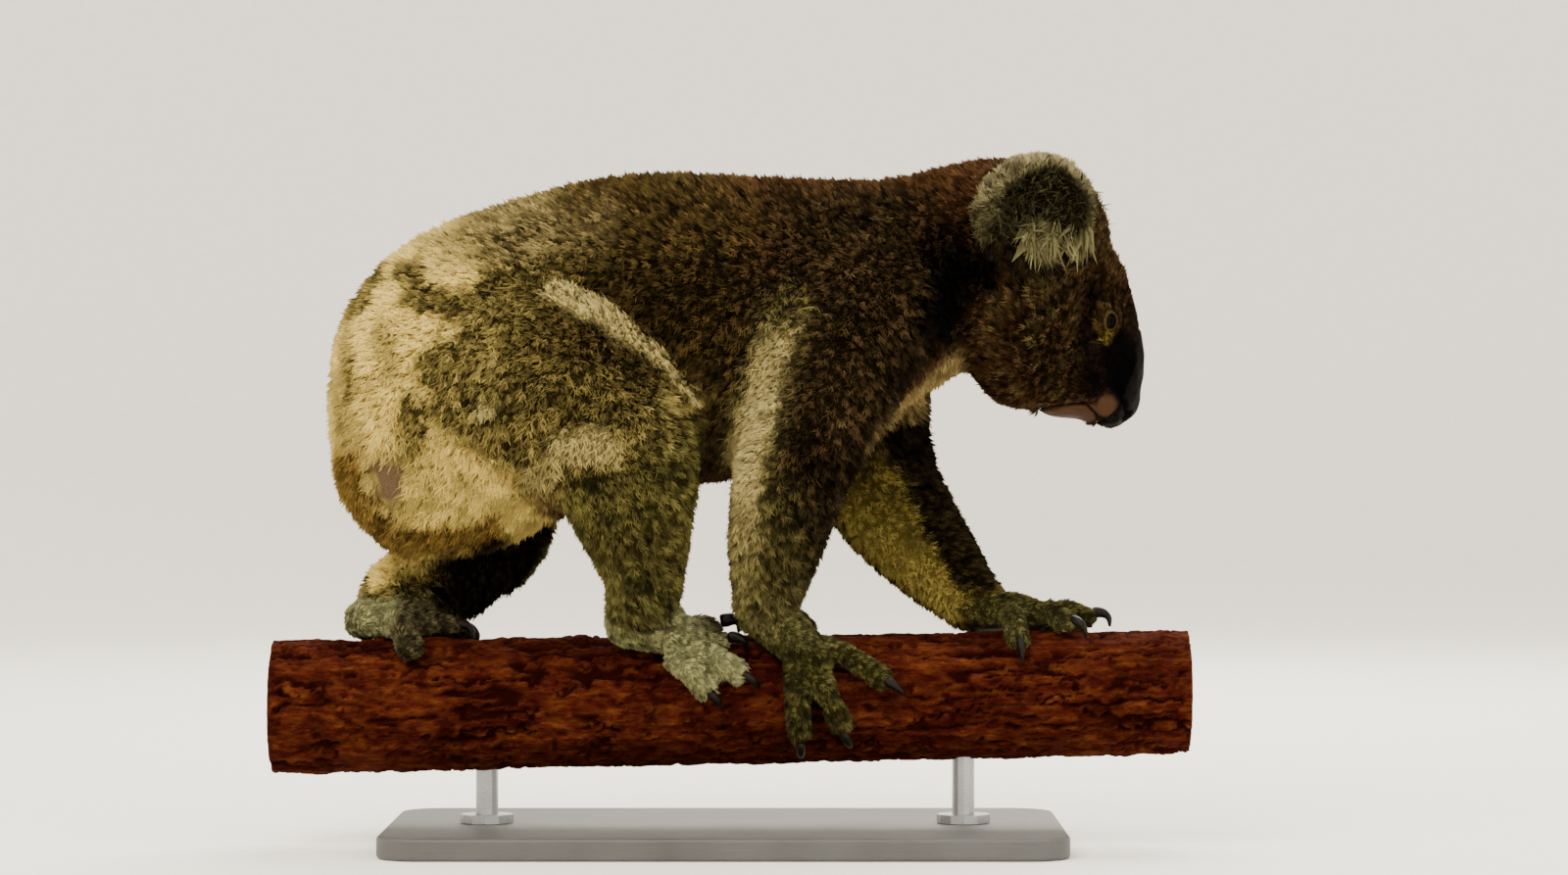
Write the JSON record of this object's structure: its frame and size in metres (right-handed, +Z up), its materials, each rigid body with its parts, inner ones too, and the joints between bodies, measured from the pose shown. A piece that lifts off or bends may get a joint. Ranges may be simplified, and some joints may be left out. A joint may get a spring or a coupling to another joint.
{
  "type": "koala",
  "caption": "Life-size still model of a koala walking along a cut log on a plain display stand.",
  "frame": {"origin": "middle of the display base's underside, on the surface that it stands on", "axes": "+Z up, +X the way the koala walks and the log's length, -Y the animal's right side"},
  "size_m": [0.652, 0.26, 0.4936],
  "materials": {
    "body_fur": "woolly brown-grey fur",
    "pale_fur": "long pale fur",
    "nose_leather": "bare black skin, satin",
    "eye": "wet gloss",
    "claw": "black horn, satin",
    "bark": "rough furrowed bark",
    "stand_steel": "brushed",
    "stand_board": "painted board, matte"
  },
  "bodies": {
    "root": {"rump": "body_fur", "belly": "body_fur", "chest": "body_fur", "neck": "body_fur", "head": "body_fur", "jaw": "pale_fur", "ear_right": "pale_fur", "ear_left": "pale_fur", "nose": "nose_leather", "eye_right": "eye", "eye_left": "eye", "upper_arm_right": "body_fur", "forearm_right": "body_fur", "forepaw_right": "body_fur", "upper_arm_left": "body_fur", "forearm_left": "body_fur", "forepaw_left": "body_fur", "thigh_right": "body_fur", "shank_right": "body_fur", "hindfoot_right": "body_fur", "thigh_left": "body_fur", "shank_left": "body_fur", "hindfoot_left": "body_fur", "claw_fore_right_1": "claw", "claw_fore_right_2": "claw", "claw_fore_right_3": "claw", "claw_fore_right_4": "claw", "claw_fore_right_5": "claw", "claw_fore_left_1": "claw", "claw_fore_left_2": "claw", "claw_fore_left_3": "claw", "claw_fore_left_4": "claw", "claw_fore_left_5": "claw", "claw_hind_right_2": "claw", "claw_hind_right_3": "claw", "claw_hind_right_4": "claw", "claw_hind_right_5": "claw", "claw_hind_left_2": "claw", "claw_hind_left_3": "claw", "claw_hind_left_4": "claw", "claw_hind_left_5": "claw", "perch_log": "bark", "stand_rod_front": "stand_steel", "stand_rod_rear": "stand_steel", "stand_base": "stand_board"}
  },
  "joints": []
}
